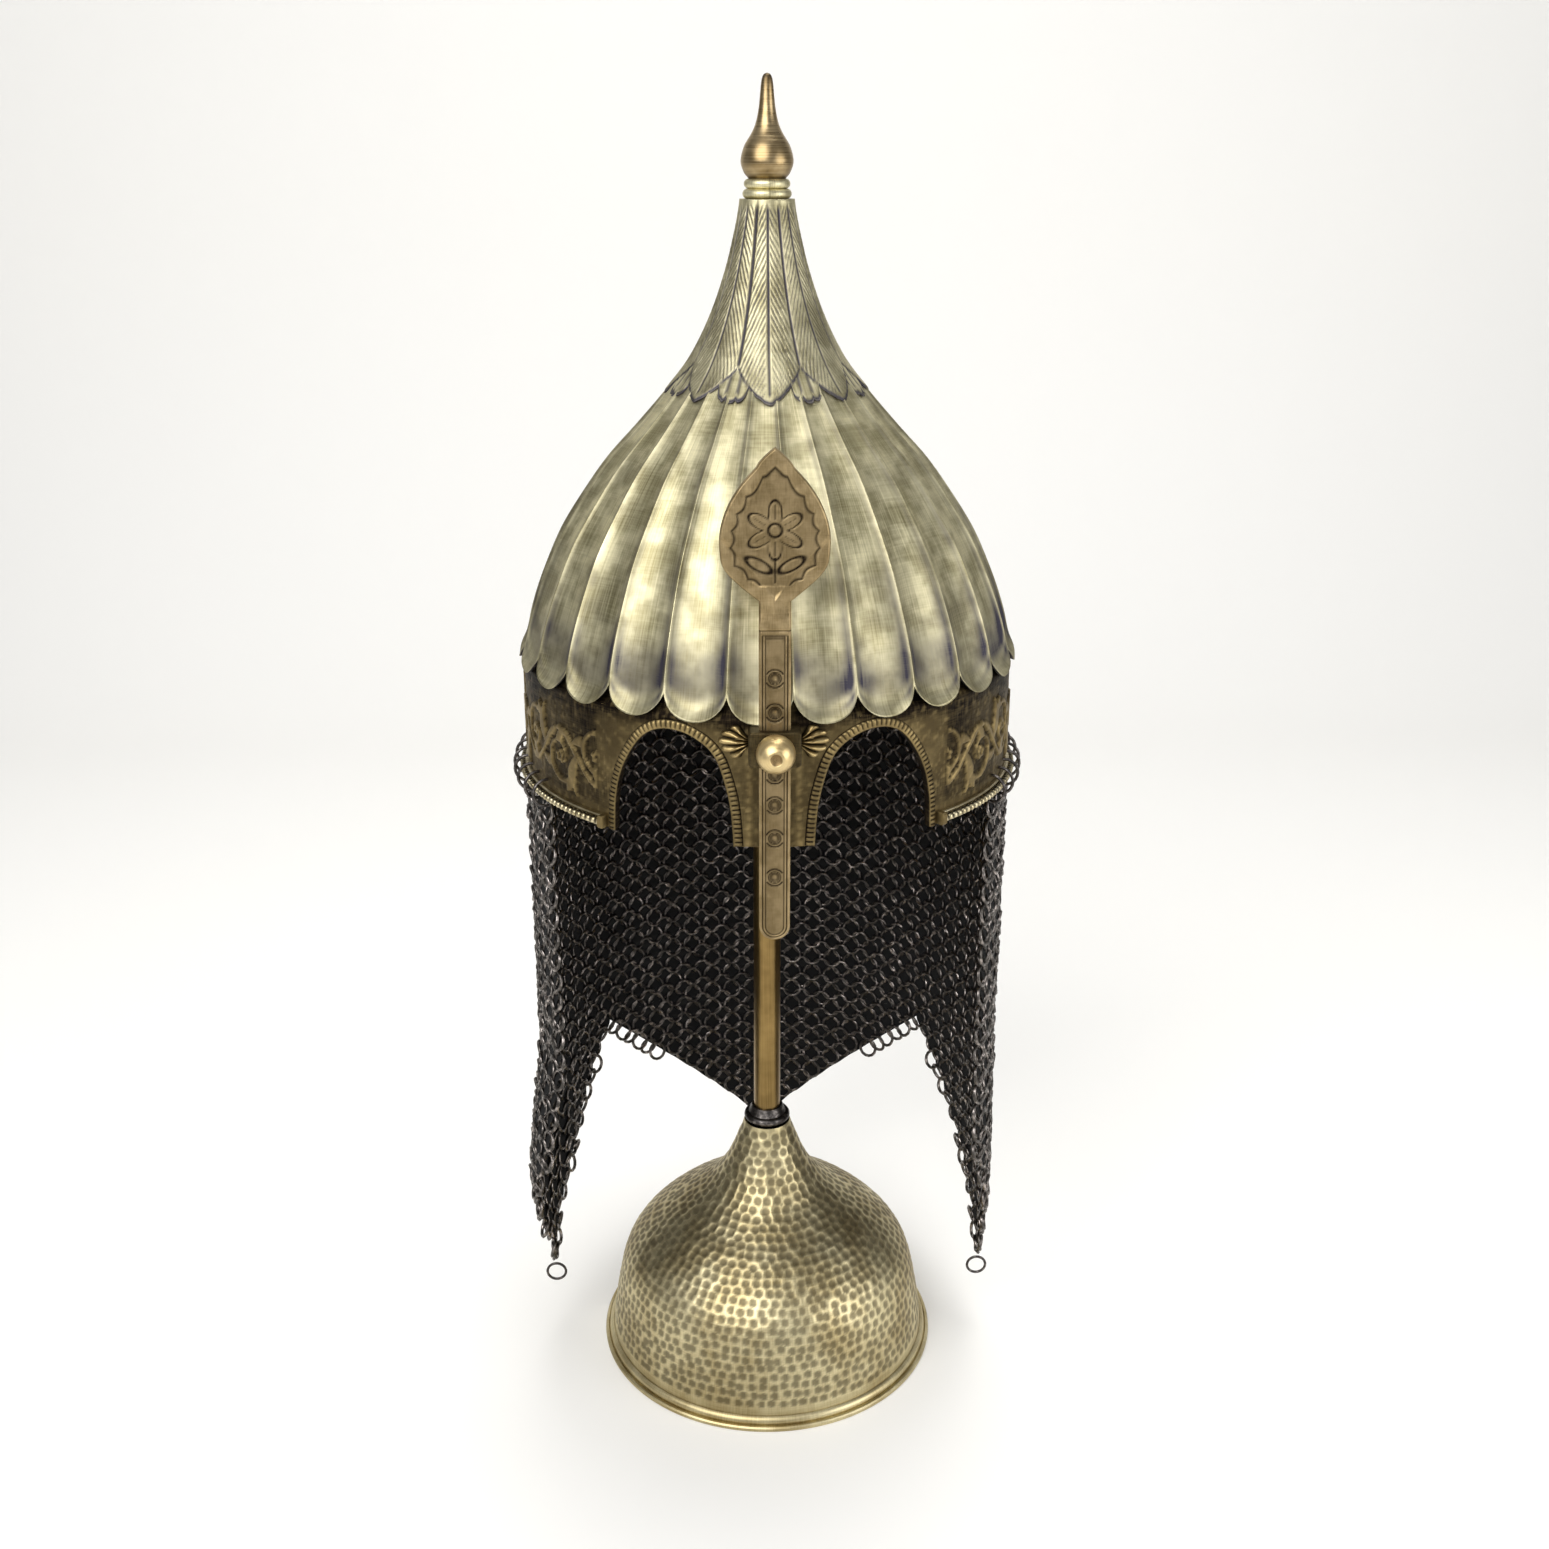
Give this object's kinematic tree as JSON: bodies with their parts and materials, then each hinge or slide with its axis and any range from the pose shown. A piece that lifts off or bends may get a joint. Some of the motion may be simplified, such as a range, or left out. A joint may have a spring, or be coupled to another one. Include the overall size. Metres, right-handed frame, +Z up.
{
  "type": "chichak helmet",
  "caption": "Pointed fluted war helmet with a sliding nasal, beaded brow band and a curtain of neck mail, resting on its hammered brass display stand.",
  "frame": {"origin": "middle of the stand's underside, on the axis that the stand and the helmet share", "axes": "+Z up along the pole, -Y towards the helmet's front (the nasal), +X to the viewer's right"},
  "size_m": [0.226, 0.2446, 0.5898],
  "materials": {
    "brushed_brass": "brushed and antiqued, dark in the flutes",
    "cast_brass": "cast and antiqued, brown-black ground with worn relief",
    "forged_brass": "satin antiqued, engraved",
    "polished_brass": "turned and polished",
    "turned_brass": "turned, warm toned patina",
    "hammered_brass": "hand hammered and antiqued",
    "drawn_brass_tube": "drawn tube, aged",
    "dark_steel": "darkened steel",
    "turned_beech": "turned and oiled",
    "wool_felt": "black wool felt",
    "blackened_steel": "blackened wire rings, rubbed bright on their edges"
  },
  "bodies": {
    "stand": {"base_rim": "hammered_brass", "base_dome": "hammered_brass", "stand_collar": "dark_steel", "stand_pole": "drawn_brass_tube", "tie_rod": "dark_steel", "base_washer": "dark_steel", "base_nut": "dark_steel", "head_block": "turned_beech", "head_washer": "dark_steel", "head_nut": "dark_steel"},
    "pad": {"head_pad": "wool_felt"},
    "helmet": {"skull": "brushed_brass", "skull_cone": "brushed_brass", "finial_ferrule": "turned_brass", "finial": "turned_brass", "finial_washer": "dark_steel", "finial_nut": "dark_steel", "brow_band": "cast_brass", "eye_border_left": "cast_brass", "eye_border_right": "cast_brass", "rim_beading": "cast_brass", "nasal_bracket": "cast_brass", "bracket_rivets": "cast_brass", "hanger_rings": "blackened_steel", "mail_curtain": "blackened_steel"},
    "tail_left": {"mail_tail_left": "blackened_steel", "tail_ring_left": "blackened_steel"},
    "tail_right": {"mail_tail_right": "blackened_steel", "tail_ring_right": "blackened_steel"},
    "nape": {"mail_nape": "blackened_steel"},
    "nasal": {"nasal_bar": "forged_brass"},
    "clamp_screw": {"clamp_stud": "dark_steel"},
    "clamp_knob": {"clamp_knob": "polished_brass"}
  },
  "joints": [
    {"name": "helmet_turn", "type": "hinge", "parent": "stand", "child": "pad", "pos_m": [0, 0, 0.47], "axis": [0, 0, 1], "continuous": true},
    {"name": "helmet_lift", "type": "slide", "parent": "pad", "child": "helmet", "axis": [0, 0, 1], "range_m": [0, 0.46]},
    {"name": "nasal_slide", "type": "slide", "parent": "helmet", "child": "nasal", "axis": [0, 0, 1], "range_m": [-0.045, 0.055]},
    {"name": "clamp_travel", "type": "slide", "parent": "helmet", "child": "clamp_screw", "axis": [0, -1, 0], "range_m": [0, 0.002]},
    {"name": "clamp_turn", "type": "hinge", "parent": "clamp_screw", "child": "clamp_knob", "pos_m": [0, -0.125, 0.3505], "axis": [0, -1, 0], "range_deg": [0, 760]},
    {"name": "tail_left_swing", "type": "hinge", "parent": "helmet", "child": "tail_left", "pos_m": [-0.1048, 0, 0.136], "axis": [0, 1, 0], "range_deg": [0, 80]},
    {"name": "tail_right_swing", "type": "hinge", "parent": "helmet", "child": "tail_right", "pos_m": [0.1048, 0, 0.136], "axis": [0, -1, 0], "range_deg": [0, 80]},
    {"name": "nape_swing", "type": "hinge", "parent": "helmet", "child": "nape", "pos_m": [0, 0.1048, 0.136], "axis": [1, 0, 0], "range_deg": [0, 80]}
  ],
  "couplings": [
    {"joint": "clamp_turn", "follows": "clamp_travel", "rad_per_m": 6283.2}
  ]
}
